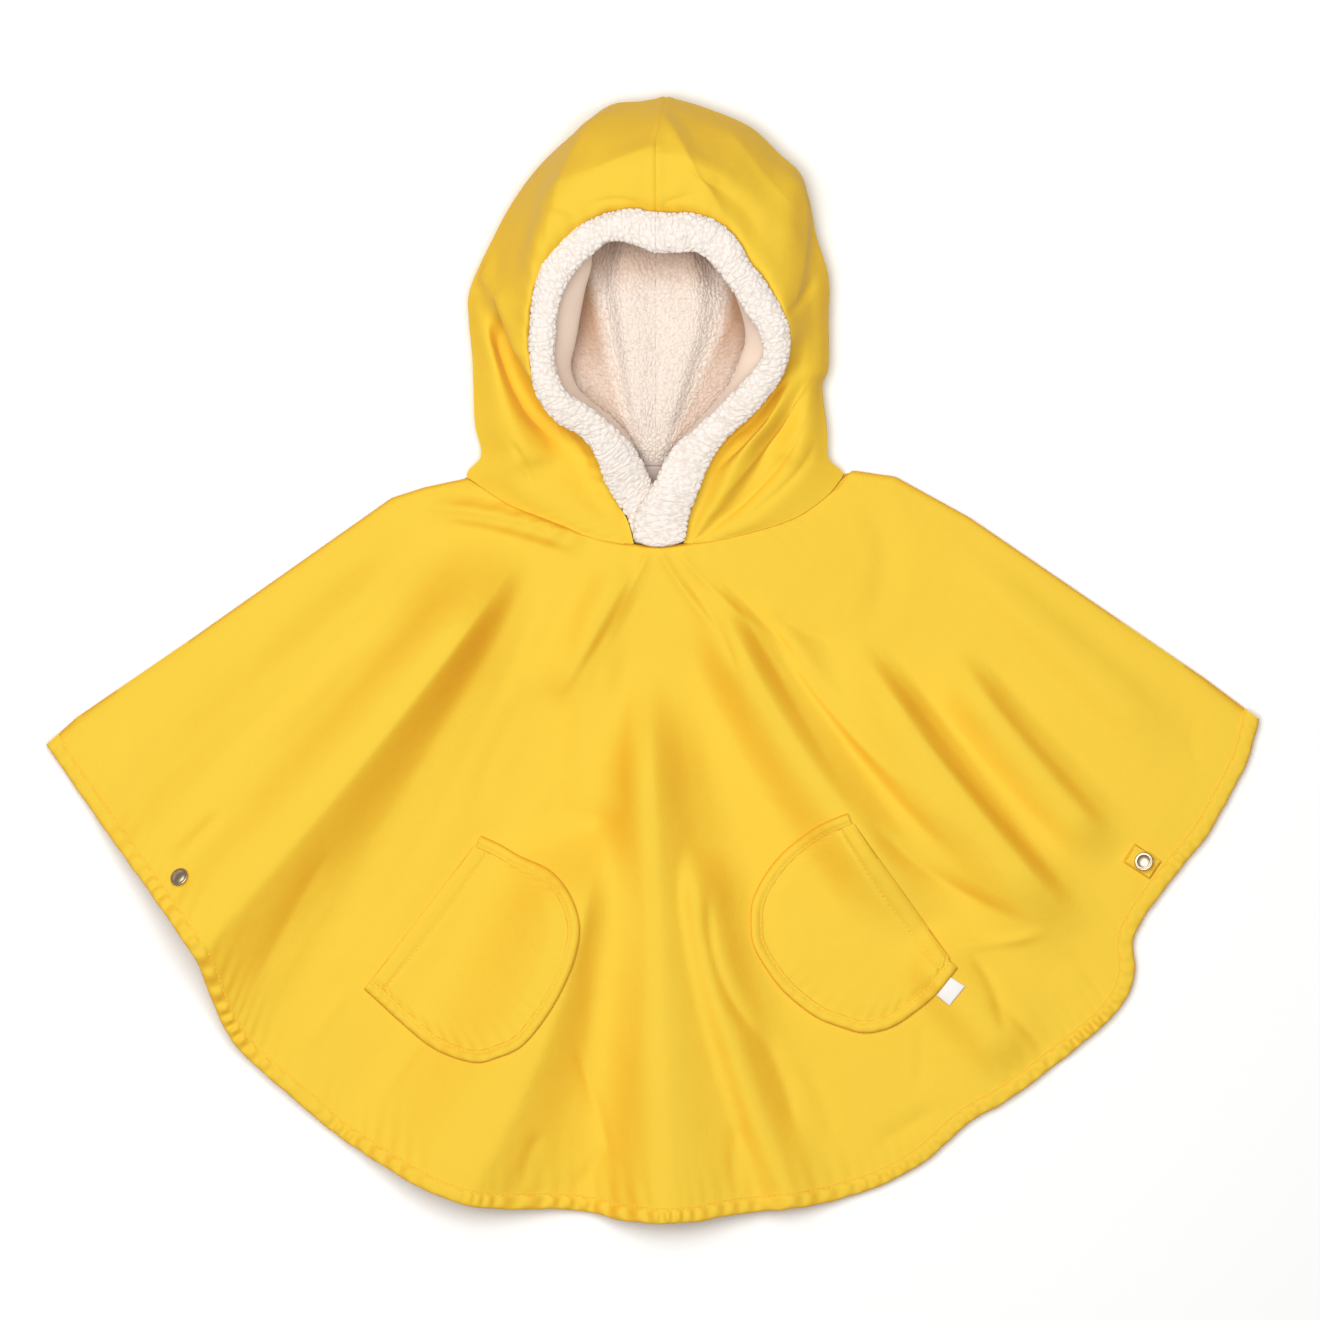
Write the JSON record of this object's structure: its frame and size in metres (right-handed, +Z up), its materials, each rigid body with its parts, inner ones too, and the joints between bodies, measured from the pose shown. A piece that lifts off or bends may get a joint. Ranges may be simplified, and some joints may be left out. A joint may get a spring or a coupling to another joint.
{
  "type": "car seat poncho",
  "caption": "Small child's hooded car seat poncho laid flat on its back, with a teddy-lined hood, patch pockets and a press stud at each underarm",
  "frame": {"origin": "on the surface that the garment lies on, under the middle of its whole box", "axes": "+X towards the cuff on the right as one looks down on the front, +Y towards the top of the hood, +Z up from the surface"},
  "size_m": [0.8, 0.742, 0.077],
  "materials": {
    "shell_cloth": "coated, soft sheen",
    "teddy_fleece": "curly pile",
    "brushed_lining": "brushed",
    "label_tape": "woven tape, blank",
    "stud_metal": "nickel-plated brass"
  },
  "bodies": {
    "root": {"front_panel": "shell_cloth", "back_panel": "shell_cloth", "front_binding": "shell_cloth", "back_binding": "shell_cloth", "hood_left": "shell_cloth", "hood_right": "shell_cloth", "pocket_left": "shell_cloth", "pocket_left_band": "shell_cloth", "pocket_right": "shell_cloth", "pocket_right_band": "shell_cloth", "stud_right_tab": "shell_cloth", "hood_lining_left": "teddy_fleece", "hood_lining_right": "teddy_fleece", "trim_left": "teddy_fleece", "trim_right": "teddy_fleece", "neck_lining": "brushed_lining", "neck_label": "label_tape", "pocket_label": "label_tape", "stud_left_cap": "stud_metal", "stud_left_mate": "stud_metal", "stud_right_cap": "stud_metal", "stud_right_mate": "stud_metal"}
  },
  "joints": []
}
